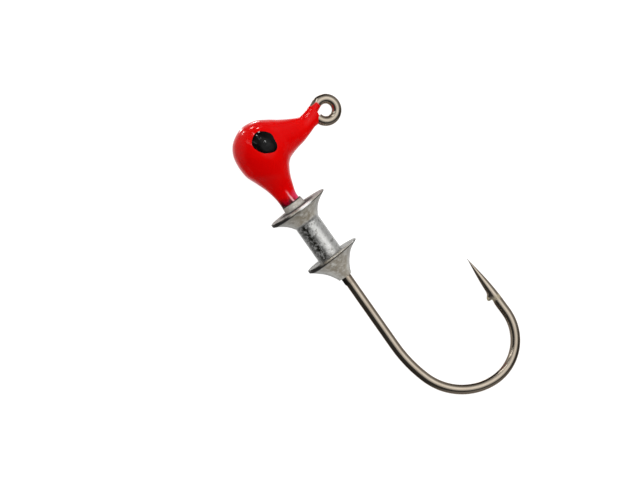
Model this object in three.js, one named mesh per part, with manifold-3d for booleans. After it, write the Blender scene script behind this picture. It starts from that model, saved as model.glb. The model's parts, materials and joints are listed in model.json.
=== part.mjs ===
// Jig head: a lead head with a collared bait keeper, cast round a forged jig hook, painted, with two domed eyes.
// Millimetres. The jig is drawn upright in its own frame, and laid on its side at the end:
//   x runs along the shank from the head to the bend, y rises towards the hook's point, z is to the jig's left.
import * as THREE from "three";
import { mergeVertices } from "three/addons/utils/BufferGeometryUtils.js";
import Module from "manifold-3d";

const { cos, sin, sqrt, PI, min, max } = Math;
const { degToRad, lerp } = THREE.MathUtils;

// ---- driving dimensions ----
const FIT_GAP = 0.03; // between the hook and the lead, the lead and the paint, the paint and the eyes

// Hook
const WIRE_R = 0.585;
const RING_R = 1.29; // line tie, to the middle of the wire
const RING_CENTRE = new THREE.Vector2(0.69, 9.3);
const RING_TAIL = -83; // degrees round the ring where the wire's cut end lies
const RING_CLOSE = 205; // and where the leg leaves the ring
const LEG_STRAIGHT = 2.55; // of the leg below the ring
const LEG_CRANK_R = 1.5; // brings the leg upright
const HEAD_BEND_R = 2.6; // from the leg to the shank, buried in the lead
const BEND_START_X = 27.4; // end of the straight shank
const BEND = [ // radius and degrees of each stretch, from the shank to the point
  [16.2, 18.2],
  [7.22, 67.5],
  [5.5, 95.7],
];
const POINT_LENGTH = 7.54; // straight wire from the bend to the tip
const GRIND_LENGTH = 6.0; // of it, ground to a needle
const TIP_R = 0.02;

// Barb: a blunt sliver raised from the inside of the point. Its corners are [distance back from the hook's tip,
// height over the wire].
const BARB_CORNERS = [[4.5, 0], [4.85, 0.22], [5.3, 0.42], [5.48, 0.3], [5.38, 0]];
const BARB_SUNK = 0.15; // into the wire
const BARB_WIDTH = 0.55;

// Head
const COAT = 0.13; // paint thickness
const BALL_R = 3.38; // over the paint
const BALL_CENTRE = new THREE.Vector2(0, 0.46);
const EYE = { forward: 12.7, up: 1.2, baseR: 1.6, rise: 0.28 }; // degrees off the ball's side, and the dome's size

// Bait keeper, turned about an axis a little below the shank's
const KEEPER_AXIS_Y = -0.1;
const BARREL_R = 1.53;
const LIP = 0.24; // thickness of a collar's edge
const HOLLOW = { along: 0.33, up: 0.28 }; // where a cone's side is pulled in to: shares of its length and its height
const FRONT_COLLAR = { x: 7.82, lipR: 3.6, coneLength: 2.13 };
const REAR_COLLAR = { x: 14.58, lipR: 3.28, coneLength: 2.92 };
const TAIL = { r: 0.86, chamfer: 0.1 }; // blunt end round the shank
const KEEPER_ROOT = { depth: 0.55, r: 0.7 }; // how far the keeper is rooted in the neck

// How it lies on a table, on the front collar, one eye and the hook
const REST_ROLL = -11.83; // degrees about x
const REST_PITCH = 0.8; // degrees about y

// Facets
const WIRE_SIDES = 16;
const WIRE_CURVE_POINTS = 10;
const GRIND_STEPS = 8;
const HEAD_SIDES = 28;
const STEPS_PER_STATION = 2;
const TURNED_SIDES = 36;
const TURNED_CURVE_POINTS = 6;
const EYE_SIDES = [28, 20];

// ---- materials ----
const BRONZED_STEEL = new THREE.MeshStandardMaterial({ color: 0x8c7a68, roughness: 0.25, metalness: 1 });
const CAST_LEAD = new THREE.MeshStandardMaterial({ color: 0xa9a9a6, roughness: 0.45, metalness: 0.9 });
const RED_PAINT = new THREE.MeshStandardMaterial({ color: 0xd40d0b, roughness: 0.2, metalness: 0 });
const BLACK_ENAMEL = new THREE.MeshStandardMaterial({ color: 0x0b0b0d, roughness: 0.15, metalness: 0 });

// ---- solids ----
const wasm = await Module();
wasm.setup();

// A closed geometry as a solid that can be joined and cut.
function solid(geometry) {
  geometry.deleteAttribute("normal");
  geometry.deleteAttribute("uv");
  const merged = mergeVertices(geometry);
  const vertProperties = merged.attributes.position.array;
  return new wasm.Manifold(new wasm.Mesh({ numProp: 3, vertProperties, triVerts: merged.index.array }));
}

function geometryOf(made) {
  const { vertProperties, triVerts } = made.getMesh();
  const geometry = new THREE.BufferGeometry();
  geometry.setAttribute("position", new THREE.BufferAttribute(vertProperties, 3));
  geometry.setIndex(new THREE.BufferAttribute(triVerts, 1));
  geometry.computeVertexNormals();
  return geometry;
}

// A closed skin over a string of sections, each with as many points, capped at both ends.
function skin(sections) {
  const sides = sections[0].length;
  const index = [];
  for (let i = 0; i + 1 < sections.length; i++) {
    for (let j = 0; j < sides; j++) {
      const a = i * sides + j;
      const b = i * sides + ((j + 1) % sides);
      index.push(a, b, b + sides, a, b + sides, a + sides);
    }
  }
  const last = (sections.length - 1) * sides;
  for (let j = 1; j + 1 < sides; j++) {
    index.push(0, j + 1, j, last, last + j, last + j + 1);
  }
  return new THREE.BufferGeometry().setFromPoints(sections.flat()).setIndex(index);
}

// The points of an oval in the plane of the unit vector across and the z axis.
function oval(centre, across, reach, width, sides) {
  return Array.from({ length: sides }, (_, j) => {
    const turn = (j / sides) * 2 * PI;
    const out = reach * cos(turn);
    return new THREE.Vector3(centre.x + across.x * out, centre.y + across.y * out, width * sin(turn));
  });
}

function polar(radius, degrees) {
  return new THREE.Vector2(radius * cos(degToRad(degrees)), radius * sin(degToRad(degrees)));
}

// ---- hook ----

// Draws the wire's middle line as a pen would: straight on, or round a bend, to the left when degrees is above 0.
class WirePen {
  constructor(start, heading) {
    this.at = start;
    this.heading = heading;
    this.path = new THREE.Path().moveTo(start.x, start.y);
  }

  forward(length) {
    this.at = this.at.clone().add(polar(length, this.heading));
    this.path.lineTo(this.at.x, this.at.y);
    return this;
  }

  turn(radius, degrees) {
    const inwards = this.heading + Math.sign(degrees) * 90;
    const centre = this.at.clone().add(polar(radius, inwards));
    const from = inwards + 180;
    this.path.absarc(centre.x, centre.y, radius, degToRad(from), degToRad(from + degrees), degrees < 0);
    this.at = centre.add(polar(radius, from + degrees));
    this.heading += degrees;
    return this;
  }
}

// The wire's middle line, from the cut end at the line tie to the tip.
function wireLine() {
  const ringStart = RING_CENTRE.clone().add(polar(RING_R, RING_TAIL));
  const pen = new WirePen(ringStart, RING_TAIL + 90);
  pen.turn(RING_R, RING_CLOSE - RING_TAIL);
  pen.forward(LEG_STRAIGHT).turn(LEG_CRANK_R, 270 - (RING_CLOSE + 90));
  pen.forward(pen.at.y - HEAD_BEND_R).turn(HEAD_BEND_R, 90);
  pen.forward(BEND_START_X - pen.at.x);
  BEND.forEach(([radius, degrees]) => pen.turn(radius, degrees));
  pen.forward(POINT_LENGTH - GRIND_LENGTH);
  for (let i = 0; i < GRIND_STEPS; i++) pen.forward(GRIND_LENGTH / GRIND_STEPS);
  return pen.path.getPoints(WIRE_CURVE_POINTS);
}

// The wire's radius, from how far it still is to the tip.
function wireRadius(toTip) {
  return max(TIP_R, WIRE_R * sin((PI / 2) * min(1, toTip / GRIND_LENGTH)));
}

// The middle line's points, each with the wire's direction there and the distance left to the tip.
function wireStations() {
  const points = wireLine().filter((p, i, all) => i === 0 || p.distanceTo(all[i - 1]) > TIP_R);
  const stations = points.map((p, i) => {
    const [before, after] = [points[max(i - 1, 0)], points[min(i + 1, points.length - 1)]];
    return { p, along: after.clone().sub(before).normalize(), toTip: 0 };
  });
  for (let i = stations.length - 2; i >= 0; i--) {
    stations[i].toTip = stations[i + 1].toTip + points[i].distanceTo(points[i + 1]);
  }
  return stations;
}

// The whole wire, thicker all over by grow.
function wire(grow) {
  const sections = wireStations().map(({ p, along, toTip }) => {
    const across = new THREE.Vector2(-along.y, along.x);
    const r = wireRadius(toTip) + grow;
    return oval(p, across, r, r, WIRE_SIDES);
  });
  return solid(skin(sections));
}

function barb() {
  const { p: tip, along } = wireStations().at(-1);
  const inwards = new THREE.Vector2(-along.y, along.x);
  const corner = (toTip, lift) =>
    tip.clone().addScaledVector(along, -toTip).addScaledVector(inwards, wireRadius(toTip) + lift);
  const [first, last] = [BARB_CORNERS[0], BARB_CORNERS.at(-1)];
  const outline = new THREE.Shape([
    corner(first[0], -BARB_SUNK),
    ...BARB_CORNERS.map(([toTip, lift]) => corner(toTip, lift)),
    corner(last[0], -BARB_SUNK),
  ]);
  const sliver = new THREE.ExtrudeGeometry(outline, { depth: BARB_WIDTH, bevelEnabled: false });
  return solid(sliver.translate(0, 0, -BARB_WIDTH / 2));
}

// ---- head ----

// The head is a string of sections from the line tie, through the ball, to the neck. Each station gives the two
// ends of its section: the side towards the keeper and the point, then the side towards the nose and the belly.
// A third number flattens it from side to side.
const onBall = (degrees) => BALL_CENTRE.clone().add(polar(BALL_R, degrees)).toArray();
const PAINTED_STATIONS = [
  [[1.2, 8.12], [-0.78, 8.3], 0.66],
  [[1.47, 7.72], [-0.74, 7.8], 0.66],
  [[1.54, 7.06], [-0.56, 7.2], 0.78],
  [[1.81, 6.23], [-0.45, 6.23], 0.85],
  [[2.12, 5.17], [-0.98, 5.13], 0.92],
  [[2.34, 4.0], [-1.7, 3.97]],
  [[2.56, 3.15], [-2.41, 2.98]],
  [[2.76, 2.62], onBall(160)],
  [[2.93, 2.39], onBall(190)],
  [[3.09, 2.2], onBall(220)],
  [[3.32, 2.01], onBall(245)],
  [[3.64, 1.82], onBall(270)],
  [[4.1, 1.57], [1.57, -2.85]],
  [[4.67, 1.33], [2.95, -2.32]],
  [[5.36, 1.1], [4.33, -1.82]],
  [[6.0, 0.89], [5.56, -1.56]],
  [[6.45, 0.8], [6.36, -1.49]],
  [[6.88, 0.8], [6.88, -1.49]],
];
const BARE_NECK_STATIONS = [ // past the end of the paint
  [[7.0, 1.0], [7.0, -1.5]],
  [[7.95, 1.12], [7.95, -1.56]],
];

// A smooth string of sections through stations. growth is how much thicker all round it is at each.
function headSections(stations, growth) {
  const sideLine = (k) => new THREE.SplineCurve(stations.map((station) => new THREE.Vector2(...station[k])));
  const sides = [sideLine(0), sideLine(1)];
  const flatness = stations.map((station) => station[2] ?? 1);
  const spans = stations.length - 1;
  return Array.from({ length: spans * STEPS_PER_STATION + 1 }, (_, i) => {
    const at = i / STEPS_PER_STATION;
    const between = (values) => lerp(values[Math.floor(at)], values[Math.ceil(at)], at % 1);
    const [a, b] = sides.map((side) => side.getPoint(at / spans));
    const centre = a.clone().add(b).divideScalar(2);
    const across = a.clone().sub(b).normalize();
    const r = a.distanceTo(b) / 2;
    const grow = between(growth);
    return oval(centre, across, r + grow, r * between(flatness) + grow, HEAD_SIDES);
  });
}

// The outside of the paint, thicker all over by grow.
function paintedHead(grow) {
  return solid(skin(headSections(PAINTED_STATIONS, PAINTED_STATIONS.map(() => grow))));
}

// The lead under the paint and its bare neck, thicker all over by grow.
function leadHead(grow) {
  const underPaint = PAINTED_STATIONS.slice(1);
  const growth = [...underPaint.map(() => grow - COAT), ...BARE_NECK_STATIONS.map(() => grow)];
  const sections = headSections([...underPaint, ...BARE_NECK_STATIONS], growth);
  sections[0].forEach((p) => (p.y += grow));
  return solid(skin(sections));
}

// ---- bait keeper ----

// Adds a collar to a profile drawn along the shank: a flat face towards the head, a lip, and a hollow-sided cone
// that ends at endR.
function addCollar(profile, { x, lipR, coneLength }, endR) {
  const lipEnd = x + LIP;
  profile.lineTo(x, lipR).lineTo(lipEnd, lipR);
  profile.quadraticCurveTo(lipEnd + coneLength * HOLLOW.along, lerp(endR, lipR, HOLLOW.up), x + coneLength, endR);
}

function keeper() {
  const root = FRONT_COLLAR.x - KEEPER_ROOT.depth;
  const profile = new THREE.Path().moveTo(root, 0);
  profile.lineTo(root, KEEPER_ROOT.r).lineTo(FRONT_COLLAR.x, KEEPER_ROOT.r);
  addCollar(profile, FRONT_COLLAR, BARREL_R);
  profile.lineTo(REAR_COLLAR.x, BARREL_R);
  addCollar(profile, REAR_COLLAR, TAIL.r);
  const end = REAR_COLLAR.x + REAR_COLLAR.coneLength + TAIL.chamfer;
  profile.lineTo(end, TAIL.r - TAIL.chamfer).lineTo(end, 0);
  const turned = profile.getPoints(TURNED_CURVE_POINTS).map((p) => new THREE.Vector2(p.y, p.x));
  return solid(new THREE.LatheGeometry(turned, TURNED_SIDES).rotateZ(-PI / 2).translate(0, KEEPER_AXIS_Y, 0));
}

// ---- eyes ----

// A domed drop of enamel on one side of the ball: side is 1 for the left and -1 for the right.
function eye(side, paint) {
  const sagitta = BALL_R - sqrt(BALL_R ** 2 - EYE.baseR ** 2);
  const height = sagitta + EYE.rise;
  const domeR = (EYE.baseR ** 2 + height ** 2) / (2 * height);
  const [forward, up] = [degToRad(EYE.forward), degToRad(EYE.up)];
  const outwards = new THREE.Vector3(-sin(forward), sin(up), side * cos(forward)).normalize();
  const centre = outwards.multiplyScalar(BALL_R + EYE.rise - domeR);
  const dome = new THREE.SphereGeometry(domeR, ...EYE_SIDES).rotateX(PI / 2);
  return solid(dome.translate(centre.x + BALL_CENTRE.x, centre.y + BALL_CENTRE.y, centre.z)).subtract(paint);
}

// ---- assembly ----
const hookChannel = wire(FIT_GAP);
const eyeSeat = paintedHead(FIT_GAP);
const pieces = {
  hook: [wire(0).add(barb()), BRONZED_STEEL],
  lead_casting: [leadHead(0).add(keeper()).subtract(hookChannel), CAST_LEAD],
  paint_coat: [paintedHead(0).subtract(leadHead(FIT_GAP)).subtract(hookChannel), RED_PAINT],
  eye_left: [eye(1, eyeSeat), BLACK_ENAMEL],
  eye_right: [eye(-1, eyeSeat), BLACK_ENAMEL],
};

const jig = new THREE.Group();
for (const [name, [made, material]] of Object.entries(pieces)) {
  const mesh = new THREE.Mesh(geometryOf(made), material);
  mesh.name = name;
  jig.add(mesh);
}
jig.rotation.set(degToRad(REST_ROLL), degToRad(REST_PITCH), 0);

// The origin is under the middle of the jig, on the table.
const part = new THREE.Group().add(jig);
const box = new THREE.Box3().setFromObject(part, true);
const middle = box.getCenter(new THREE.Vector3());
jig.position.set(-middle.x, -middle.y, -box.min.z);

export default part;
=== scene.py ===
"""Jig head: the looks.

Finely made pieces stand for the CAD nodes, with their materials, a floor, lights and a camera.
Shapes are given in millimetres in the jig's own frame, and laid down with world():
x runs along the shank from the head to the bend, y rises towards the hook's point, z is to the jig's left.
"""

import json
from math import cos, exp, hypot, pi, radians, sin, sqrt

import bpy
from mathutils import Matrix, Vector, noise
from mathutils.bvhtree import BVHTree

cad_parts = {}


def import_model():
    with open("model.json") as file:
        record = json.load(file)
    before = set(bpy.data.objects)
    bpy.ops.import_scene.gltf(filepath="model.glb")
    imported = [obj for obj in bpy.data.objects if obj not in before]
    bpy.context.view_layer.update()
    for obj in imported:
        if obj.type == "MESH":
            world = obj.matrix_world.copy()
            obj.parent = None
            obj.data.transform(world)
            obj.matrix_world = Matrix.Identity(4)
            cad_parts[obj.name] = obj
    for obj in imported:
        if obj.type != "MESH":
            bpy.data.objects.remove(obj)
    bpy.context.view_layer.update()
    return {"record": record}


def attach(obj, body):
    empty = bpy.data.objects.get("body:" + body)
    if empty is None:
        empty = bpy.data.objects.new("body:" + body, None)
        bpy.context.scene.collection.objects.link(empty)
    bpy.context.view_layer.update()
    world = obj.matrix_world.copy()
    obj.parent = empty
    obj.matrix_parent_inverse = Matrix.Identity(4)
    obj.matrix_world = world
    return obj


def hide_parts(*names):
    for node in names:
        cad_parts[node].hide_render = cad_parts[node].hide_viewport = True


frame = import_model()

MM = 0.001

# ---- the jig's frame ----
REST_ROLL = -11.83  # degrees about x
REST_PITCH = 0.8  # degrees about y
RING_CENTRE = Vector((0.69, 9.3, 0))  # of the line tie, which the record gives in the row frame

REST = Matrix.Rotation(radians(REST_ROLL), 3, "X") @ Matrix.Rotation(radians(REST_PITCH), 3, "Y")
TIE = next(m for m in frame["record"]["mounts"] if m["name"] == "line_tie")
ORIGIN = Vector(TIE["pos_m"]) - REST @ (RING_CENTRE * MM)


def world(p):
    """A point of the jig's frame, in mm, in the row frame."""
    return ORIGIN + REST @ (Vector(p) * MM)


# ---- hook ----
WIRE_R = 0.575
RING_R = 1.29  # to the middle of the wire
RING_TAIL = -84  # degrees round the ring where the cut end lies
RING_CLOSE = 205  # and where the leg leaves the ring
LEG_STRAIGHT = 2.55
LEG_CRANK_R = 1.5
HEAD_BEND_R = 2.6
BEND_START_X = 27.4
BEND = [(16.2, 18.2), (7.22, 67.5), (5.5, 95.7)]  # radius and degrees of each stretch
POINT_LENGTH = 7.54
GRIND_LENGTH = 6.0  # of the point, ground to a needle
TIP_R = 0.04
WIRE_SIDES = 48
ARC_STEP = 3  # degrees between sections on a bend
POINT_STEP = 0.06  # mm between sections on the point
LEG_STEPS = 12  # sections on the leg above its crank, and below it
LEG_FOOT_STEPS = 4
SHANK_STEPS = 180

# The barb, raised from the inside of the point. All these distances are back from the tip.
BARB_RIDGE = [  # (distance, how high its ridge stands there)
    (4.4, 0),
    (4.7, 0.09),
    (4.88, 0.26),
    (5.02, 0.38),
    (5.2, 0.43),
    (5.36, 0.41),
    (5.44, 0.3),
    (5.5, 0),
]
BARB_SPREAD = 0.5  # radians round the wire
BARB_HIGHLIGHT = (0.12, 0.3)  # heights at which the barb's raised back starts to be painted pale as a painted highlight, and wholly is
BARB_CUT = dict(end=6.3, depth=0.1, spread=0.85)  # the shallow cut that it was raised from
FILED = dict(at=5.6, width=0.3, share=0.75)  # a paler band round the wire behind the barb

# Dark flash that the mould left on the belly side of the shank, between two places along it.
RESIDUE = dict(start=17.5, end=18.6, fade_in=0.15, fade_out=0.25, height=0.09, spread=1.1)

# ---- head ----
COAT = 0.13  # the paint's thickness
COAT_GAP = 0.01  # between the paint and the lead under it
BALL_R = 3.355
BALL_CENTRE = Vector((0, 0.46, 0))
HEAD_SIDES = 96
STEPS_PER_STATION = 10
DOME_RINGS = (0.12, 0.3, 0.5, 0.7, 0.85, 0.95)  # over the head's closed top, as shares of the way out
DOME_LIFT = 0.1
PAINT_END_X = 6.88
PAINT_END_WANDER = 0.25

# ---- eyes ----
EYE = dict(forward=12.7, up=1.2, base_r=1.39, rise=0.16, sunk=0.05, lift=0.012)  # forward and up in degrees
EYE_DOME = 2.2  # power of the dome's side: 2 is a parabola, and more has a flatter top
EYE_WAVES = [(2, 0.09, 20), (3, 0.04, 20), (4, 0.02, 20), (5, 0.03, 29)]  # its egg shape: see eye_outline
EYE_RINGS = 24
EYE_SIDES = 64

# ---- bait keeper ----
KEEPER_AXIS_Y = -0.1  # it is turned about an axis a little below the shank's
BARREL_R = 1.525
LIP = 0.24
LIP_ROUND = 0.07
LIP_BACK = 0.4  # how far a lip's edge is drawn in at its back, as a share of LIP_ROUND
LIP_SWAY = 0.13  # how much thicker a lip is at its belly side, and thinner at its point side
LIP_REACH = {"front": (0.17, 0.0), "rear": (0.26, -0.12)}  # further out, at its point and its belly side
REACH_R = (2.2, 3.3)  # radii between which a lip's reach comes in
REACH_SIDE = (0.3, 1)  # and how far round to the point or the belly, where 1 is all the way
ROUGHNESS = [(0.012, 1.1), (0.006, 3.7)]  # the casting's unevenness: depth, and waves to a mm
NICKS = dict(depth=0.05, r=(2.4, 3.5), rarity=0.35, along=0.3, round=1.2)  # the last two in waves to a mm
LIP_BEND = dict(depth=0.02, r=(2.2, 3.5), per_mm=0.9)  # how far a thin lip strays along the shank
HOLLOW = (0.33, 0.28)  # where a cone's side is pulled in to, as shares of its length and height
FRONT_COLLAR = dict(x=7.82, lip_r=3.585, cone=2.13)
REAR_COLLAR = dict(x=14.58, lip_r=3.265, cone=2.92)
TAIL_R = 0.86
TAIL_CHAMFER = 0.1
TAIL_ROUND = (0.3, 0.6, 0.85, 1)  # places along the tail's rounded end, as shares of its chamfer
LIP_TURNS = (30, 60, 90)  # degrees round a lip's rounded edge
FACE_R = 1.6  # where the front collar's face starts, just outside the neck
FACE_STEPS = 6
CONE_STEPS = 18
BARREL_STEPS = 30

# Painted shade at the neck's foot, along the lips, under them and on their belly side, with dark specks on
# their point side:
# how dark it is at each place along a collar, then the shares of a cone's side over which it fades, and the
# sides of a lip that it lies on, from -1 at the belly to 1 at the point.
FOOT_SHADE = 0.75  # painted shade all round, at the neck's foot
FOOT_FADE = (1, 4)  # steps out along the front collar's face over which it fades
FACE_EDGE_SHADE = 0.9
LIP_ROUND_SHADE = 0.8
EDGE_LINE = 0.5  # painted shade along the lip's edge, all round
CONE_LINE = 0.85  # painted shade under the lip, all round
CONE_LINE_FADE = (0, 0.1)
CONE_SHADE_FADE = (0.02, 0.14)
BELLY_SIDE = (-1.0, 0.15)
SPECKED_SIDE = (0.65, 0.9)
SPECKS = (-0.05, 0.2)  # noise above which a speck starts, and is full

# ---- where the materials change ----
THIN_PAINT_X = (5.6, 6.9)  # where the red starts to run thin over the neck, and wholly has
PINK_PAINT_Y = (-0.2, 0.5)  # where the thin red turns from crimson to pink: painted shade on the belly side, painted light on the point side
# A painted highlight: a pink stripe down the neck, by the (x, y) of its ends. It fades in along x, and shows
# on the side turned up.
HIGHLIGHT_STREAK = dict(start=(7.0, -0.15), end=(5.3, -0.3), width=0.09, fade=(5.2, 6.2), side=(0, 0.2))
HIGHLIGHT_PATCH = dict(x=0.1, reach=0.16, z=2.3, y=0.1, width=0.8)  # a painted highlight beside the neck; x is past the front collar's face
DULL_NECK = 0.8  # how dull and how brown the neck is
DULL_FACE_R = (1.5, 1.65)  # radii between the neck and the front collar's face
DULL_CONE_R = (1.55, 1.75)  # and between the barrel and a dull cone
DULL_TAIL = (0.1, 0.3)  # distances past the rear collar's face
PITTED = dict(start=(9.6, 10.1), end=0.1, side=-0.62, width=0.36)  # side runs from -1, belly, to 1, point
STAINED = (0.45, 1.0)  # how far up a place faces, as it lies, where the stain starts and is full
UP_Y, UP_Z = -0.2, 0.97  # the way up, as it lies
FACE_SLACK = 0.01  # the front collar's face is this far off flat
NEAR_AXIS = 0.1  # a place closer to the axis than this has no side

# The film of paint at the line tie, by a place on each of its edges and the edge's slope there.
FILM_BACK = dict(x=-0.73, y=7.94, slope=0.064)  # x for each y, down the back of the leg
FILM_TOP = dict(x=-0.67, y=8.88, slope=0.19)  # y for each x, over the top of the leg
FILM_TAIL = dict(x=0.78, y=7.89, slope=-0.875, start=(0.3, 0.4))  # x for each y, beside the cut end
FILM_FOOT_Y = 7.4
FILM_SOFT = 0.04

# ---- colours, as linear red, green and blue ----
RED = (0.68, 0.0004, 0.0006)
WARM_RED = (0.74, 0.0015, 0.0008)
DARK_CRIMSON = (0.05, 0.001, 0.004)
CRIMSON = (0.3, 0.002, 0.016)
MAGENTA = (0.72, 0.06, 0.16)
# the painted highlight along the neck
HIGHLIGHT_PINK = (0.9, 0.42, 0.46)
FILM_RED = (0.7, 0.001, 0.001)
GREY_LEAD = (0.76, 0.76, 0.74)
BRIGHT_LEAD = (0.86, 0.86, 0.84)
# the painted highlight beside the neck
PAINTED_HIGHLIGHT_LEAD = (0.95, 0.95, 0.93)
PALE_OXIDE = (0.84, 0.83, 0.78)
WARM_OXIDE = (0.7, 0.685, 0.635)
BROWN_STAIN = (0.37, 0.325, 0.255)
SPECK = (0.11, 0.1, 0.08)
PIT = (0.03, 0.03, 0.022)
# the black of the painted shade and specks
SHADE_AND_SPECK_BLACK = (0.02, 0.019, 0.018)
# the painted shade at the lead's rim
LEAD_RIM_SHADE = (0.12, 0.115, 0.11)
NICKEL = (0.61, 0.53, 0.43)
BROWN_NICKEL = (0.55, 0.465, 0.37)
# the painted shade at the hook's rim
NICKEL_RIM_SHADE = (0.17, 0.1, 0.05)
FILED_AND_HIGHLIT_STEEL = (0.52, 0.45, 0.3)
BLACK_RESIDUE = (0.025, 0.018, 0.014)
BLACK = (0.002, 0.0018, 0.0018)
SOFT_BLACK = (0.005, 0.0045, 0.0045)
FLOOR_GREY = (0.3, 0.3, 0.3, 1)
WHITE = (1, 1, 1, 1)

# ---- photograph's camera, in the jig's frame ----
PHOTO_SPIN = 54.9  # degrees that the shank points below the picture's right
PHOTO_TILT = 5.0  # degrees that the head end leans to the camera
PHOTO_ROLL = 12.0  # degrees that the point side leans away
PHOTO_AIM = Vector((11.98, -0.81, 0))  # in the middle of the picture
PHOTO_WIDTH = 71.9  # mm across the picture
CAMERA_DISTANCE = 2300  # mm, with a long lens, as the photograph's parallel edges show
SENSOR = 36  # mm
CAMERA_NEAR = 0.01  # metres

# ---- light ----
FLOOR_REACH = 3  # metres each way
FLOOR_GLOW = 0.92  # the floor is a lit panel, so that shadows on it are faint
FILL = dict(off_axis=12, bearing=50, distance=0.7, side=0.6, watts=3.5)  # its distance and side are in metres

# What the bare metal and the gloss reflect. Each glow has its degrees off the view axis and its bearing in
# the picture, then the degrees from its middle to where it starts to fade and to where it ends, and its
# strength.
GLOWS = [
    (26, 35, 18, 49, 0.72),  # softbox
    (30, 35, 5, 20, 0.42),  # its brightest part
    (70, 50, 10, 50, 0.22),  # its spill
    (52, 115, 8, 32, 0.3),  # from the upper left
    (120, 35, 10, 45, 0.2),  # from beyond the upper right
    (102, 172, 15, 48, 0.4),  # from beyond the left
    (108, 295, 20, 55, 0.25),  # from beyond the lower right
    (180, 0, 30, 60, 0.9),  # white table underneath
    (144, 106, 4, 7, 5.0),  # small lamps, up and to the left
    (148, 138, 2, 5, 5.0),
]
DUSK = 0.035  # everywhere else

# Two narrow strip lights that the bend mirrors: bearing, the degrees off axis at each end, and strength.
STRIPS = [(149, 40, 72, 2.4), (117, 40, 72, 2.2)]
STRIP_STEP = 4  # degrees between the glows that make up a strip
STRIP_WIDTH = (1, 3.5)  # degrees to where each starts to fade and where it ends

# Small bright lamps that show only as glints in the paint and the eyes: degrees off axis, bearing and radius.
GLINTS = [
    (144, 106, 2),
    (148, 138, 2),
    (96, 100, 3),
    (111, 113, 3),
    (116, 139, 3),
    (74, 119, 3),
    (54, 105, 3),
    (30, 75, 2),
]
GLINT_DISTANCE = 0.5  # metres
GLINT_STRENGTH = 24


# ---- mesh tools ----


def polar(r, turn):
    """A point of the plane of the hook, r from the origin at a turn in degrees."""
    return Vector((r * cos(radians(turn)), r * sin(radians(turn)), 0))


def smooth(low, high, value):
    """0 below low, 1 above high, and eased between."""
    t = min(1, max(0, (value - low) / (high - low)))
    return t * t * (3 - 2 * t)


def mix(a, b, t):
    return a + (b - a) * t


def wander(p, size, per_mm):
    """A smooth straying either way by up to size, different at each place."""
    return size * noise.noise(p * per_mm)


def oval(centre, across, reach, width, sides):
    """The points of an oval in the plane of across, a unit vector, and z."""
    points = []
    for j in range(sides):
        turn = 2 * pi * j / sides
        points.append(centre + across * (reach * cos(turn)) + Vector((0, 0, width * sin(turn))))
    return points


def skin(sections):
    """Vertices and faces of a closed skin over a string of sections, capped at both ends."""
    sides = len(sections[0])
    verts = [p for section in sections for p in section]
    faces = []
    for i in range(len(sections) - 1):
        for j in range(sides):
            a, b = i * sides + j, i * sides + (j + 1) % sides
            faces.append((a, b, b + sides, a + sides))
    last = (len(sections) - 1) * sides
    faces.append(tuple(range(sides - 1, -1, -1)))
    faces.append(tuple(range(last, last + sides)))
    return verts, faces


def piece(name, closed_skin, node, material, sharp=40, marks=None):
    """A piece with a closed skin, given in the jig's frame, that stands for a CAD node.

    marks are values per vertex for the material, as a list or as a function of the place.
    """
    verts, faces = closed_skin
    mesh = bpy.data.meshes.new(name)
    mesh.from_pydata([world(p) for p in verts], [], faces)
    mesh.shade_smooth()
    mesh.set_sharp_from_angle(angle=radians(sharp))
    for mark, values in (marks or {}).items():
        if callable(values):
            values = [values(p) for p in verts]
        mesh.attributes.new(mark, "FLOAT", "POINT").data.foreach_set("value", values)
    mesh.materials.append(material)
    made = bpy.data.objects.new(name, mesh)
    bpy.context.scene.collection.objects.link(made)
    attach(made, "root")
    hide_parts(node)
    return made


# ---- the wire ----


class WirePen:
    """Draws the wire's middle line as (point, heading), with every heading in degrees."""

    def __init__(self, start, heading):
        self.at, self.heading = start, heading
        self.line = [(start, heading)]

    def forward(self, length, steps):
        for _ in range(steps):
            self.at = self.at + polar(length / steps, self.heading)
            self.line.append((self.at, self.heading))
        return self

    def turn(self, r, degrees):
        """Round a bend: to the left, or to the right where degrees are negative."""
        side = 90 if degrees > 0 else -90
        centre = self.at + polar(r, self.heading + side)
        steps = max(1, round(abs(degrees) / ARC_STEP))
        start = self.heading
        for i in range(1, steps + 1):
            self.heading = start + degrees * i / steps
            self.at = centre + polar(r, self.heading - side)
            self.line.append((self.at, self.heading))
        return self


def wire_stations():
    """The wire from its cut end to its tip, as (point, across, distance left to the tip)."""
    pen = WirePen(RING_CENTRE + polar(RING_R, RING_TAIL), RING_TAIL + 90)
    pen.turn(RING_R, RING_CLOSE - RING_TAIL)
    pen.forward(LEG_STRAIGHT, LEG_STEPS).turn(LEG_CRANK_R, 270 - (RING_CLOSE + 90))
    pen.forward(pen.at.y - HEAD_BEND_R, LEG_FOOT_STEPS).turn(HEAD_BEND_R, 90)
    pen.forward(BEND_START_X - pen.at.x, SHANK_STEPS)
    for r, degrees in BEND:
        pen.turn(r, degrees)
    pen.forward(POINT_LENGTH, round(POINT_LENGTH / POINT_STEP))
    stations, to_tip = [], 0
    for i in range(len(pen.line) - 1, -1, -1):
        at, heading = pen.line[i]
        if i + 1 < len(pen.line):
            to_tip += (pen.line[i + 1][0] - at).length
        stations.append((at, polar(1, heading + 90), to_tip))
    return stations[::-1]


def wire_radius(to_tip):
    """The wire's radius, which is ground down to a needle towards the tip."""
    return max(TIP_R, WIRE_R * sin(pi / 2 * min(1, to_tip / GRIND_LENGTH)))


def along_table(table, at):
    """The value that a table of (place, value) gives at a place, in straight lines between its rows."""
    for (low, start), (high, end) in zip(table, table[1:]):
        if low <= at <= high:
            return mix(start, end, (at - low) / (high - low))
    return 0.0


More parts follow.
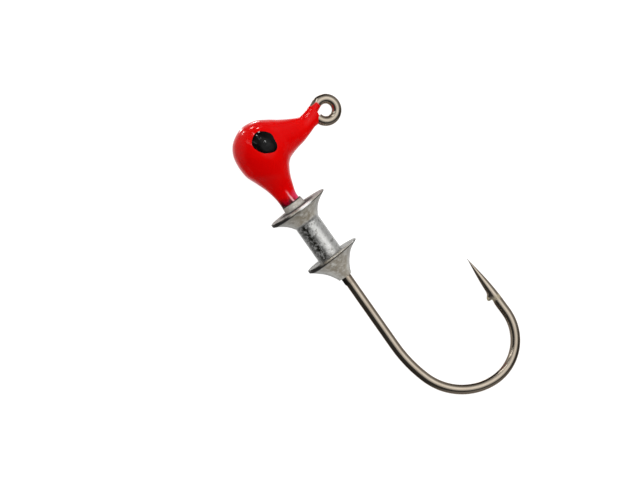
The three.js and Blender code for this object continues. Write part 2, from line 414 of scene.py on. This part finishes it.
def barb_rise(to_tip, turn):
    """How far the wire's inner side stands out, or is cut away, at a place round it."""
    away = min(turn, 2 * pi - turn)
    ridge_end = BARB_RIDGE[-1][0]
    if to_tip <= ridge_end:
        return along_table(BARB_RIDGE, to_tip) * exp(-((away / BARB_SPREAD) ** 2))
    share = 1 - smooth(ridge_end, BARB_CUT["end"], to_tip)
    return -BARB_CUT["depth"] * share * exp(-((away / BARB_CUT["spread"]) ** 2))


def residue(at, turn):
    """How thick the mould's flash is, at a point of the wire's middle line and a turn round it."""
    start, end = RESIDUE["start"], RESIDUE["end"]
    if at.y > WIRE_R or not start < at.x < end:
        return 0.0
    begun = smooth(start, start + RESIDUE["fade_in"], at.x)
    ended = smooth(end - RESIDUE["fade_out"], end, at.x)
    return RESIDUE["height"] * begun * (1 - ended) * exp(-(((turn - pi) / RESIDUE["spread"]) ** 2))


def hook_skin():
    """The hook's skin, and where it is dark with residue, and pale with file marks behind the barb and with a
    painted highlight on its raised back.
    """
    sections, dark, pale = [], [], []
    for at, across, to_tip in wire_stations():
        r = wire_radius(to_tip)
        section = []
        for j in range(WIRE_SIDES):
            turn = 2 * pi * j / WIRE_SIDES
            out = across * cos(turn) + Vector((0, 0, sin(turn)))
            flash = residue(at, turn)
            rise = barb_rise(to_tip, turn)
            dark.append(flash / RESIDUE["height"])
            band = exp(-(((to_tip - FILED["at"]) / FILED["width"]) ** 2))
            # Pale: the file marks behind the barb, and a painted highlight on its raised back.
            pale.append(max(FILED["share"] * band, smooth(*BARB_HIGHLIGHT, rise)))
            section.append(at + out * (r + rise + flash))
        sections.append(section)
    return skin(sections), dark, pale


# ---- the head ----


def on_ball(degrees):
    """The place on the ball's outline at a turn about its middle."""
    p = BALL_CENTRE + polar(BALL_R, degrees)
    return (p.x, p.y)


# Each station: its side towards the keeper and the point, its side towards the nose and the belly, and its
# thickness as a share of the distance between those two.
PAINTED_STATIONS = [
    ((1.2, 8.12), (-0.78, 8.3), 0.66),
    ((1.47, 7.72), (-0.74, 7.8), 0.66),
    ((1.54, 7.06), (-0.56, 7.2), 0.78),
    ((1.81, 6.23), (-0.45, 6.23), 0.85),
    ((2.12, 5.17), (-0.98, 5.13), 0.92),
    ((2.34, 4.0), (-1.7, 3.97), 1),
    ((2.56, 3.15), (-2.41, 2.98), 1),
    ((2.76, 2.62), on_ball(160), 1),
    ((2.93, 2.39), on_ball(190), 1),
    ((3.09, 2.2), on_ball(220), 1),
    ((3.32, 2.01), on_ball(245), 1),
    ((3.64, 1.82), on_ball(270), 1),
    ((4.1, 1.57), (1.57, -2.84), 1),
    ((4.67, 1.33), (2.95, -2.32), 1),
    ((5.36, 1.1), (4.33, -1.82), 1),
    ((6.0, 0.89), (5.56, -1.56), 1),
    ((6.45, 0.8), (6.36, -1.49), 1),
    ((PAINT_END_X, 0.8), (PAINT_END_X, -1.49), 1),
]
BARE_NECK = [  # (x, its point side, its belly side, how dark its painted shade is) past the end of the paint
    (6.94, 0.92, -1.46, 0.9),
    (7.0, 0.98, -1.5, 0.7),
    (7.2, 1.02, -1.52, 0),
    (7.5, 1.06, -1.54, 0),
    (7.82, 1.12, -1.56, 0.7),
]


def through(values, at):
    """A smooth line through values, at a place counted in values."""
    i = min(int(at), len(values) - 2)
    t = at - i
    before, a, b, after = (values[min(max(k, 0), len(values) - 1)] for k in (i - 1, i, i + 1, i + 2))
    slope_a, slope_b = (b - before) * 0.5, (after - a) * 0.5
    return (
        (a * 2 - b * 2 + slope_a + slope_b) * t**3
        + (b * 3 - a * 3 - slope_a * 2 - slope_b) * t**2
        + slope_a * t
        + a
    )


def head_sections(grow):
    """The painted head's sections, from the line tie to the end of the paint, thicker all round by grow."""
    keeper_side = [Vector((*s[0], 0)) for s in PAINTED_STATIONS]
    nose_side = [Vector((*s[1], 0)) for s in PAINTED_STATIONS]
    flatness = [s[2] for s in PAINTED_STATIONS]
    sections = []
    for i in range((len(PAINTED_STATIONS) - 1) * STEPS_PER_STATION + 1):
        at = i / STEPS_PER_STATION
        a, b = through(keeper_side, at), through(nose_side, at)
        k = min(int(at), len(flatness) - 2)
        flat = mix(flatness[k], flatness[k + 1], at - k)
        r = (a - b).length / 2
        sections.append(oval((a + b) / 2, (a - b).normalized(), r + grow, r * flat + grow, HEAD_SIDES))
    return sections


def closed_over(sections):
    """A string of sections with a low dome closing its top."""
    first = sections[0]
    centre = sum(first, Vector()) / len(first)
    dome = []
    for share in DOME_RINGS:
        rise = Vector((0, DOME_LIFT * sqrt(1 - share**2), 0))
        dome.append([centre + (p - centre) * share + rise for p in first])
    return dome + sections


def paint_end(section):
    """The section at the end of the paint, with its edge wandering along the neck."""
    elsewhere = Vector((0, 5, 0))
    return [p + Vector((PAINT_END_WANDER * noise.noise(p * 1.3 + elsewhere), 0, 0)) for p in section]


def paint_skin():
    """The coat's skin: over its outside from the closed top, and back up its inside."""
    outside = closed_over(head_sections(0))
    inside = head_sections(-COAT)
    outside[-1] = paint_end(outside[-1])
    inside[-1] = paint_end(inside[-1])
    return skin(outside + inside[::-1])


# ---- the lead ----


def collar_profile(collar, face_r, end_r, foot=0):
    """(x, r, sway, shade, line) along a collar: its flat face, its lip, and its hollow cone down to end_r.

    sway is the share of the lip's uneven thickness that moves the point along the shank. shade is how dark
    the painted shade is at the belly side, with dark specks at the point side, and line how dark the painted
    shade is all round. foot is the line at the face's inner edge.
    """
    x, lip_r = collar["x"], collar["lip_r"]
    points = []
    # The face's inner edge, the lip's rounded edge and the start of the cone under it carry painted shade.
    for step in range(FACE_STEPS + 1):
        r = mix(face_r, lip_r - LIP_ROUND, step / FACE_STEPS)
        points.append((x, r, 0, FACE_EDGE_SHADE if step == 0 else 0, foot * (1 - smooth(*FOOT_FADE, step))))
    for turn in LIP_TURNS:
        along = LIP_ROUND * (1 - cos(radians(turn)))
        out = LIP_ROUND * (1 - sin(radians(turn)))
        points.append((x + along, lip_r - out, 0, LIP_ROUND_SHADE, 0))
    lip_end = x + LIP
    points.append((lip_end - LIP_ROUND, lip_r, 1, 1, EDGE_LINE))
    # The cone's side is a curve, pulled in towards one point.
    pulled = (lip_end + collar["cone"] * HOLLOW[0], mix(end_r, lip_r, HOLLOW[1]))
    for step in range(CONE_STEPS + 1):
        t = step / CONE_STEPS
        start, middle, end = (1 - t) ** 2, 2 * t * (1 - t), t**2
        px = start * lip_end + middle * pulled[0] + end * (x + collar["cone"])
        pr = start * (lip_r - LIP_ROUND * LIP_BACK) + middle * pulled[1] + end * end_r
        shade_and_specks = 1 - smooth(*CONE_SHADE_FADE, t)
        line = CONE_LINE * (1 - smooth(*CONE_LINE_FADE, t))
        points.append((px, pr, 1 - t, shade_and_specks, line))
    return points


def keeper_profile():
    """(x, r, sway, shade, line) along the keeper, from the front collar's face to the end of the tail."""
    profile = collar_profile(FRONT_COLLAR, FACE_R, BARREL_R, FOOT_SHADE)
    start, end = profile[-1][0], REAR_COLLAR["x"]
    for step in range(1, BARREL_STEPS + 1):
        profile.append((mix(start, end, step / BARREL_STEPS), BARREL_R, 0, 0, 0))
    profile += collar_profile(REAR_COLLAR, BARREL_R, TAIL_R)[1:]
    tail = profile[-1][0]
    for t in TAIL_ROUND:
        r = TAIL_R - TAIL_CHAMFER * (1 - sqrt(1 - t * t))
        profile.append((tail + TAIL_CHAMFER * t, r, 0, 0, 0))
    return profile


def lead_skin():
    """The casting's skin, and how dark its painted shade and specks are."""
    core = head_sections(-COAT - COAT_GAP)[STEPS_PER_STATION:]
    sections = closed_over(core)
    shade_and_speck_values = [0.0] * (HEAD_SIDES * len(sections))
    across = Vector((0, 1, 0))
    for x, high, low, shade_and_specks in BARE_NECK:
        r = (high - low) / 2
        sections.append(oval(Vector((x, (high + low) / 2, 0)), across, r, r, HEAD_SIDES))
        shade_and_speck_values += [shade_and_specks] * HEAD_SIDES
    for x, r, sway, shade_and_specks, line in keeper_profile():
        ring = oval(Vector((x, 0, 0)), across, r, r, HEAD_SIDES)
        uneven = [p - Vector((LIP_SWAY * sway * p.y / r, 0, 0)) for p in ring]
        sections.append([wrinkled(reached(p)) for p in uneven])
        # The painted shade and specks, for the material.
        shade_and_speck_values += [max(line, shade_and_specks * lip_shade_and_specks(p, p.y / r)) for p in ring]
    return skin(sections), shade_and_speck_values


def lip_shade_and_specks(p, side):
    """How dark a lip is: black with painted shade at its belly side, where side is -1, and specked at its
    point side.
    """
    belly = 1 - smooth(*BELLY_SIDE, side + wander(p, 0.25, 1.3))
    specks = smooth(*SPECKED_SIDE, side) * smooth(*SPECKS, wander(p, 1, 4))
    return max(belly, specks)


def reached(p):
    """A point of the keeper, moved out where a lip reaches further from the shank."""
    r = hypot(p.y, p.z)
    mid_barrel = (FRONT_COLLAR["x"] + REAR_COLLAR["x"]) / 2
    point_side, belly_side = LIP_REACH["front" if p.x < mid_barrel else "rear"]
    more = point_side * smooth(*REACH_SIDE, p.y / r) + belly_side * smooth(*REACH_SIDE, -p.y / r)
    scale = 1 + more * smooth(*REACH_R, r) / r
    return Vector((p.x, p.y * scale, p.z * scale))


def wrinkled(p):
    """Where the casting's skin really is: a little off round, and nicked along the thin lips."""
    r = hypot(p.y, p.z)
    rough = sum(wander(p, depth, per_mm) for depth, per_mm in ROUGHNESS)
    along_lip = Vector((p.x * NICKS["along"], p.y * NICKS["round"], p.z * NICKS["round"]))
    nicked = NICKS["depth"] * smooth(*NICKS["r"], r) * (noise.noise(along_lip) - NICKS["rarity"])
    scale = 1 + (rough + min(0, nicked)) / r
    bent = smooth(*LIP_BEND["r"], r) * wander(p, LIP_BEND["depth"], LIP_BEND["per_mm"])
    return Vector((p.x + bent, p.y * scale + KEEPER_AXIS_Y, p.z * scale))


# ---- the eyes ----


def eye_outline(turn):
    """How far the eye's egg-shaped edge stands from its middle at a turn, as a share of base_r.

    Each wave of EYE_WAVES gives how many times it goes up and down round the eye, its height, and the degrees
    round the eye to its first crest.
    """
    return 1 + sum(height * cos(count * (turn - radians(crest))) for count, height, crest in EYE_WAVES)


def eye_skin(side, paint_surface):
    """A dome on one side of the ball, whose edge follows the paint's own surface."""
    forward, up = radians(EYE["forward"]), radians(EYE["up"])
    out = Vector((-sin(forward), sin(up), side * cos(forward))).normalized()
    along = Vector((1, 0, 0)) - out * out.x
    along.normalize()
    up_axis = out.cross(along) * side
    sections = []
    for i in range(EYE_RINGS):
        share = 1 - i / EYE_RINGS
        rise = EYE["rise"] * (1 - share**EYE_DOME) + EYE["lift"]
        section = []
        for j in range(EYE_SIDES):
            turn = 2 * pi * j / EYE_SIDES
            r = EYE["base_r"] * eye_outline(turn) * share
            reach = (along * cos(turn) + up_axis * (side * sin(turn))) * r
            above = BALL_CENTRE + reach + out * (2 * BALL_R)
            seat = paint_surface.ray_cast(above, -out)[0]
            section.append(seat + out * rise)
        sections.append(section)
    sections.insert(0, [p - out * EYE["sunk"] for p in sections[0]])
    return skin(sections)


# ---- materials ----


class Nodes:
    """A material's node tree, built a node at a time."""

    def __init__(self, name):
        self.material = bpy.data.materials.new(name)
        self.material.use_nodes = True
        self.tree = self.material.node_tree
        self.tree.nodes.clear()
        self.shader = self.add("ShaderNodeBsdfPrincipled")
        output = self.add("ShaderNodeOutputMaterial")
        self.link(self.shader.outputs["BSDF"], output.inputs["Surface"])
        self.where = self.add("ShaderNodeTexCoord").outputs["Object"]

    def add(self, kind, **settings):
        node = self.tree.nodes.new(kind)
        for key, value in settings.items():
            setattr(node, key, value)
        return node

    def link(self, a, b):
        self.tree.links.new(a, b)

    def feed(self, socket, value):
        if hasattr(value, "links"):
            self.link(value, socket)
        else:
            socket.default_value = value

    def noise(self, per_mm, detail=3, roughness=0.5):
        """Noise in the object's own space, per_mm waves to a millimetre."""
        node = self.add("ShaderNodeTexNoise")
        self.link(self.where, node.inputs["Vector"])
        node.inputs["Scale"].default_value = per_mm / MM
        node.inputs["Detail"].default_value = detail
        node.inputs["Roughness"].default_value = roughness
        return node.outputs["Fac"]

    def mark(self, name):
        """A value per vertex that the piece was given."""
        return self.add("ShaderNodeAttribute", attribute_name=name).outputs["Fac"]

    def ramp(self, value, low, high, to_low=0.0, to_high=1.0):
        """to_low where value is under low, to_high where it is over high, and eased between."""
        node = self.add("ShaderNodeMapRange", interpolation_type="SMOOTHSTEP")
        self.link(value, node.inputs["Value"])
        for key, number in (("From Min", low), ("From Max", high), ("To Min", to_low), ("To Max", to_high)):
            node.inputs[key].default_value = number
        return node.outputs["Result"]

    def times(self, a, b):
        node = self.add("ShaderNodeMath", operation="MULTIPLY")
        self.feed(node.inputs[0], a)
        self.feed(node.inputs[1], b)
        return node.outputs[0]

    def blend(self, share, a, b):
        node = self.add("ShaderNodeMix", data_type="RGBA")
        self.feed(node.inputs["Factor"], share)
        for socket, colour in ((node.inputs[6], a), (node.inputs[7], b)):
            self.feed(socket, colour if hasattr(colour, "links") else (*colour, 1))
        return node.outputs[2]

    def blend_values(self, share, a, b):
        node = self.add("ShaderNodeMix", data_type="FLOAT")
        for key, value in ((0, share), (2, a), (3, b)):
            self.feed(node.inputs[key], value)
        return node.outputs[0]

    def facing(self):
        """0 where a surface faces the eye, and 1 at its rim."""
        return self.add("ShaderNodeLayerWeight").outputs["Facing"]

    def bump(self, height, depth_mm, strength=1.0):
        node = self.add("ShaderNodeBump")
        node.inputs["Strength"].default_value = strength
        node.inputs["Distance"].default_value = depth_mm * MM
        self.link(height, node.inputs["Height"])
        self.link(node.outputs["Normal"], self.shader.inputs["Normal"])

    def set(self, **values):
        for key, value in values.items():
            self.feed(self.shader.inputs[key.replace("_", " ")], value)


def red_paint():
    """Mottled red gloss that runs thin over the neck, crimson at its belly side with painted shade and pink
    at the other with painted light, and a painted highlight along the neck.
    """
    n = Nodes("red_paint")
    mottled = n.blend(n.ramp(n.noise(0.45), 0.35, 0.7), RED, WARM_RED)
    # Painted shade: dark crimson for the neck's belly side; painted light: magenta for its point side.
    crimson = n.blend(n.ramp(n.noise(1.6, 4), 0.4, 0.62), DARK_CRIMSON, CRIMSON)
    thin = n.blend(n.mark("lit_side"), crimson, MAGENTA)
    coat = n.blend(n.mark("thin"), mottled, thin)
    # The pink stripe on the neck is a painted highlight.
    n.set(Base_Color=n.blend(n.mark("highlight_streak"), coat, HIGHLIGHT_PINK))
    n.set(Roughness=n.ramp(n.noise(1.2), 0.3, 0.7, 0.1, 0.18), IOR=1.45, Specular_IOR_Level=0.17)
    n.bump(n.noise(0.9, 2), 0.03, 0.25)
    return n.material


def cast_lead():
    """Bright on the barrel, duller on the neck, dull and stained on the cones, black with painted shade at
    the neck's foot and along the lips, and darker at the rim with painted shade.
    """
    n = Nodes("cast_lead")
    dull = n.mark("dull")
    painted_highlight = n.mark("painted_highlight")
    shade_and_specks = n.ramp(n.mark("shade_and_specks"), 0.25, 0.8)

    bright = n.blend(n.ramp(n.noise(0.8, 5), 0.35, 0.7), GREY_LEAD, BRIGHT_LEAD)
    oxide = n.blend(n.ramp(n.noise(0.9, 4), 0.35, 0.65), PALE_OXIDE, WARM_OXIDE)
    stain = n.times(n.mark("brown"), n.ramp(n.noise(1.9, 5, 0.65), 0.25, 0.6))
    bare = n.blend(dull, bright, n.blend(stain, oxide, BROWN_STAIN))
    specks = n.times(n.ramp(n.noise(2.3, 5, 0.7), 0.53, 0.68), n.ramp(dull, 0.0, 1.0, 0.6, 0.3))
    specked = n.blend(specks, bare, SPECK)
    pits = n.times(n.mark("pitted"), n.ramp(n.noise(2.6, 4, 0.6), 0.38, 0.56))
    # Black painted shade at the neck's foot and along and under the lips, with dark specks.
    lead_with_shade_and_specks = n.blend(shade_and_specks, n.blend(pits, specked, PIT), SHADE_AND_SPECK_BLACK)
    # Painted shade: darker towards the rim, where the surface turns away.
    rim = n.times(n.ramp(n.facing(), 0.35, 0.9), 0.6)
    # The bright patch beside the neck is a painted highlight.
    n.set(Base_Color=n.blend(painted_highlight, n.blend(rim, lead_with_shade_and_specks, LEAD_RIM_SHADE), PAINTED_HIGHLIGHT_LEAD))

    metal = n.times(n.ramp(dull, 0.0, 1.0, 0.88, 0.3), n.ramp(n.mark("pitted"), 0.0, 1.0, 1.0, 0.85))
    n.set(Metallic=n.blend_values(painted_highlight, n.blend_values(shade_and_specks, metal, 0.0), 0.0), Specular_IOR_Level=0.2)
    polish = n.blend_values(dull, n.ramp(n.noise(2.2, 4), 0.3, 0.75, 0.26, 0.42), 0.5)
    n.set(Roughness=n.blend_values(shade_and_specks, polish, 0.9))
    n.bump(n.noise(3.2, 6, 0.62), 0.045, 0.5)
    return n.material


def dark_nickel():
    """Polished plate, darker at its rim with painted shade, with pale file marks behind the barb and a
    painted highlight on its raised back, black residue and a film of paint.
    """
    n = Nodes("dark_nickel")
    film = n.mark("paint")
    # Pale file marks behind the barb, and a painted highlight on its raised back.
    filing_and_highlight = n.times(n.mark("filed_and_highlit"), n.ramp(n.noise(2.2, 4), 0.25, 0.45))

    plate = n.blend(n.ramp(n.noise(0.35, 3), 0.35, 0.7), NICKEL, BROWN_NICKEL)
    # Painted shade: darker towards the rim.
    shaded = n.blend(n.ramp(n.facing(), 0.08, 0.6, 0.0, 0.75), plate, NICKEL_RIM_SHADE)
    dirty = n.blend(n.mark("residue"), n.blend(filing_and_highlight, shaded, FILED_AND_HIGHLIT_STEEL), BLACK_RESIDUE)
    n.set(Base_Color=n.blend(film, dirty, FILM_RED))

    n.set(Metallic=n.times(n.ramp(film, 0.2, 0.8, 1.0, 0.0), n.ramp(filing_and_highlight, 0.0, 1.0, 1.0, 0.4)))
    bare = n.blend_values(filing_and_highlight, n.ramp(n.noise(1.5, 4), 0.3, 0.7, 0.14, 0.22), 0.6)
    n.set(Roughness=n.blend_values(film, bare, 0.1), Specular_IOR_Level=0.2)
    n.bump(n.noise(2.5, 3), 0.01, 0.1)
    return n.material


def black_enamel():
    """Black gloss with a slightly uneven surface."""
    n = Nodes("black_enamel")
    n.set(Base_Color=n.blend(n.ramp(n.noise(2.0), 0.4, 0.7), BLACK, SOFT_BLACK))
    n.set(Roughness=n.ramp(n.noise(1.5), 0.3, 0.7, 0.05, 0.1), IOR=1.5, Specular_IOR_Level=0.2)
    n.bump(n.noise(2.2, 1), 0.05, 0.6)
    return n.material


# ---- marks: where a material changes ----


def thin_paint(p):
    """Where the red runs thin over the neck."""
    return smooth(*THIN_PAINT_X, p.x + wander(p, 0.35, 1.4))


def painted_light_on_neck(p):
    """Where the thin paint is pink and not crimson: the neck's point side, with painted light, where the
    belly side has painted shade.
    """
    return smooth(*PINK_PAINT_Y, p.y + wander(p, 0.25, 1.8))


def painted_highlight_streak(p):
    """A painted highlight: a pink stripe along the neck, on its side turned up."""
    (start_x, start_y), (end_x, end_y) = HIGHLIGHT_STREAK["start"], HIGHLIGHT_STREAK["end"]
    middle = mix(start_y, end_y, (start_x - p.x) / (start_x - end_x))
    off = p.y - middle + wander(p, 0.05, 3)
    return exp(-((off / HIGHLIGHT_STREAK["width"]) ** 2)) * smooth(*HIGHLIGHT_STREAK["fade"], p.x) * smooth(*HIGHLIGHT_STREAK["side"], p.z)


def keeper_r(p):
    """How far a point of the lead is from the keeper's axis."""
    return hypot(p.y - KEEPER_AXIS_Y, p.z)


def painted_highlight_patch(p):
    """A painted highlight: a bright patch on the front collar's lip, beside the neck."""
    if abs(p.x - FRONT_COLLAR["x"] - HIGHLIGHT_PATCH["x"]) > HIGHLIGHT_PATCH["reach"] or p.z < HIGHLIGHT_PATCH["z"]:
        return 0.0
    return exp(-(((p.y - HIGHLIGHT_PATCH["y"]) / HIGHLIGHT_PATCH["width"]) ** 4))


def dull_lead(p):
    """Where the lead has gone dull: the cones, the whole tail, and partly the neck."""
    if p.x < FRONT_COLLAR["x"] + FACE_SLACK:
        return mix(DULL_NECK, 1 - painted_highlight_patch(p), smooth(*DULL_FACE_R, keeper_r(p)))
    return max(smooth(*DULL_CONE_R, keeper_r(p)), smooth(*DULL_TAIL, p.x - REAR_COLLAR["x"]))


def pitted_lead(p):
    """The barrel's belly side, where the casting is pitted."""
    side = (p.y - KEEPER_AXIS_Y) / max(NEAR_AXIS, keeper_r(p))
    rear = REAR_COLLAR["x"]
    on_barrel = smooth(*PITTED["start"], p.x) * (1 - smooth(rear, rear + PITTED["end"], p.x))
    return on_barrel * exp(-(((side - PITTED["side"]) / PITTED["width"]) ** 2))


def brown_lead(p):
    """Where the lead is stained: the neck, and the side of each cone that is turned up as it lies."""
    if p.x < FRONT_COLLAR["x"] + LIP:
        return DULL_NECK
    facing_up = (p.z * UP_Z + p.y * UP_Y) / max(NEAR_AXIS, hypot(p.y, p.z))
    return smooth(*STAINED, facing_up + wander(p, 0.2, 0.8))


def painted_wire(p):
    """Where a film of paint reaches over the wire at the line tie: the leg's inner side, and the cut end."""
    if p.y < FILM_FOOT_Y:
        return 0.0
    stray = wander(p, 0.08, 2.5)
    in_front = p.x - FILM_BACK["x"] - FILM_BACK["slope"] * (p.y - FILM_BACK["y"]) + stray
    above = p.y - FILM_TOP["y"] - FILM_TOP["slope"] * (p.x - FILM_TOP["x"]) + stray
    beyond = p.x - FILM_TAIL["x"] - FILM_TAIL["slope"] * (p.y - FILM_TAIL["y"]) + stray
    off_top = smooth(-FILM_SOFT, FILM_SOFT, above)
    off_tail = smooth(-FILM_SOFT, FILM_SOFT, beyond) * smooth(*FILM_TAIL["start"], p.x)
    return smooth(-FILM_SOFT, FILM_SOFT, in_front) * (1 - off_top) * (1 - off_tail)


# ---- pieces ----
hook, hook_residue, hook_filed_and_highlit = hook_skin()
hook_marks = {"paint": painted_wire, "residue": hook_residue, "filed_and_highlit": hook_filed_and_highlit}
piece("jig_hook", hook, "hook", dark_nickel(), sharp=50, marks=hook_marks)

lead, lead_shade_and_specks = lead_skin()
# One of these marks is painted shade, with dark specks on the lips' point side.
lead_marks = {
    "dull": dull_lead,
    "brown": brown_lead,
    "shade_and_specks": lead_shade_and_specks,
    "pitted": pitted_lead,
    "painted_highlight": painted_highlight_patch,
}
piece("cast_head_and_keeper", lead, "lead_casting", cast_lead(), marks=lead_marks)

coat = paint_skin()
# Two of these marks are painted: light and shade on the thin paint of the neck, and a pink highlight along
# it.
paint_marks = {"thin": thin_paint, "lit_side": painted_light_on_neck, "highlight_streak": painted_highlight_streak}
paint = piece("head_paint", coat, "paint_coat", red_paint(), marks=paint_marks)

enamel = black_enamel()
paint_surface = BVHTree.FromPolygons(*coat)
left_eye = piece("left_eye_dome", eye_skin(1, paint_surface), "eye_left", enamel)
right_eye = piece("right_eye_dome", eye_skin(-1, paint_surface), "eye_right", enamel)

# ---- camera ----
TO_CAMERA = (
    Matrix.Rotation(radians(-PHOTO_SPIN), 3, "Z")
    @ Matrix.Rotation(radians(PHOTO_TILT), 3, "Y")
    @ Matrix.Rotation(radians(-PHOTO_ROLL), 3, "X")
)
LOOK = REST @ TO_CAMERA.transposed()  # columns: the picture's right, its up, and back to the camera
RIGHT, UP, BACK = LOOK.col


def towards(off_axis, bearing):
    """A direction off_axis degrees from the way back to the camera, leaning to a bearing in the picture."""
    lean = RIGHT * cos(radians(bearing)) + UP * sin(radians(bearing))
    return BACK * cos(radians(off_axis)) + lean * sin(radians(off_axis))


def add_camera():
    """The camera at the photograph's viewing angle."""
    data = bpy.data.cameras.new("photo_camera")
    data.sensor_width = SENSOR
    data.lens = SENSOR * CAMERA_DISTANCE / PHOTO_WIDTH
    data.clip_start = CAMERA_NEAR
    camera = bpy.data.objects.new("photo_camera", data)
    spot = world(PHOTO_AIM) + BACK * CAMERA_DISTANCE * MM
    camera.matrix_world = Matrix.Translation(spot) @ LOOK.to_4x4()
    bpy.context.scene.collection.objects.link(camera)
    bpy.context.scene.camera = camera


# ---- floor and light ----


def add_floor():
    """A pale panel that glows, and isn't itself reflected."""
    far = FLOOR_REACH
    mesh = bpy.data.meshes.new("floor")
    mesh.from_pydata([(-far, -far, 0), (far, -far, 0), (far, far, 0), (-far, far, 0)], [], [(0, 1, 2, 3)])
    n = Nodes("floor")
    n.set(Base_Color=FLOOR_GREY, Roughness=1.0)
    n.set(Emission_Color=WHITE, Emission_Strength=FLOOR_GLOW)
    mesh.materials.append(n.material)
    floor = bpy.data.objects.new("floor", mesh)
    floor.visible_glossy = False
    floor.visible_shadow = False
    bpy.context.scene.collection.objects.link(floor)


def add_fill():
    """A large soft light that brightens the paint and the floor, and isn't itself reflected."""
    data = bpy.data.lights.new("fill", "AREA")
    data.size = FILL["side"]
    data.energy = FILL["watts"]
    lamp = bpy.data.objects.new("fill", data)
    way = towards(FILL["off_axis"], FILL["bearing"])
    lamp.location = world(PHOTO_AIM) + way * FILL["distance"]
    lamp.rotation_mode = "QUATERNION"
    lamp.rotation_quaternion = way.to_track_quat("Z", "Y")
    lamp.visible_glossy = False
    bpy.context.scene.collection.objects.link(lamp)


def add_glints(shown_in):
    """Small bright lamps that light only the pieces they are shown in, and only by their gloss."""
    receivers = bpy.data.collections.new("glossy_pieces")
    for made in shown_in:
        receivers.objects.link(made)
    for off_axis, bearing, radius in GLINTS:
        data = bpy.data.lights.new("glint", "POINT")
        data.shadow_soft_size = GLINT_DISTANCE * sin(radians(radius))
        # Energy goes with the lamp's surface, so that every glint is as bright as the next.
        data.energy = GLINT_STRENGTH * (2 * pi * data.shadow_soft_size) ** 2
        lamp = bpy.data.objects.new("glint", data)
        lamp.location = world(BALL_CENTRE) + towards(off_axis, bearing) * GLINT_DISTANCE
        lamp.visible_camera = False
        lamp.visible_diffuse = False
        lamp.light_linking.receiver_collection = receivers
        bpy.context.scene.collection.objects.link(lamp)


def strip_glows():
    """The strip lights, each as a row of small glows."""
    glows = []
    for bearing, first, last, strength in STRIPS:
        for off_axis in range(first, last + 1, STRIP_STEP):
            glows.append((off_axis, bearing, *STRIP_WIDTH, strength))
    return glows


def add_world():
    """The studio that the pieces mirror, as a sum of soft round glows."""
    made = bpy.data.worlds.new("studio")
    made.use_nodes = True
    bpy.context.scene.world = made
    tree = made.node_tree
    where = tree.nodes.new("ShaderNodeTexCoord").outputs["Generated"]
    total = None
    for off_axis, bearing, full, end, strength in GLOWS + strip_glows():
        dot = tree.nodes.new("ShaderNodeVectorMath")
        dot.operation = "DOT_PRODUCT"
        tree.links.new(where, dot.inputs[0])
        dot.inputs[1].default_value = towards(off_axis, bearing)
        fade = tree.nodes.new("ShaderNodeMapRange")
        fade.interpolation_type = "SMOOTHSTEP"
        tree.links.new(dot.outputs["Value"], fade.inputs["Value"])
        fade.inputs["From Min"].default_value = cos(radians(end))
        fade.inputs["From Max"].default_value = cos(radians(full))
        fade.inputs["To Max"].default_value = strength
        add = tree.nodes.new("ShaderNodeMath")
        add.operation = "ADD"
        tree.links.new(fade.outputs["Result"], add.inputs[0])
        if total is None:
            add.inputs[1].default_value = DUSK
        else:
            tree.links.new(total, add.inputs[1])
        total = add.outputs[0]
    background = tree.nodes["Background"]
    background.inputs["Color"].default_value = WHITE
    tree.links.new(total, background.inputs["Strength"])


add_camera()
add_floor()
add_fill()
add_glints([paint, left_eye, right_eye])
add_world()
bpy.context.scene.view_settings.view_transform = "Standard"
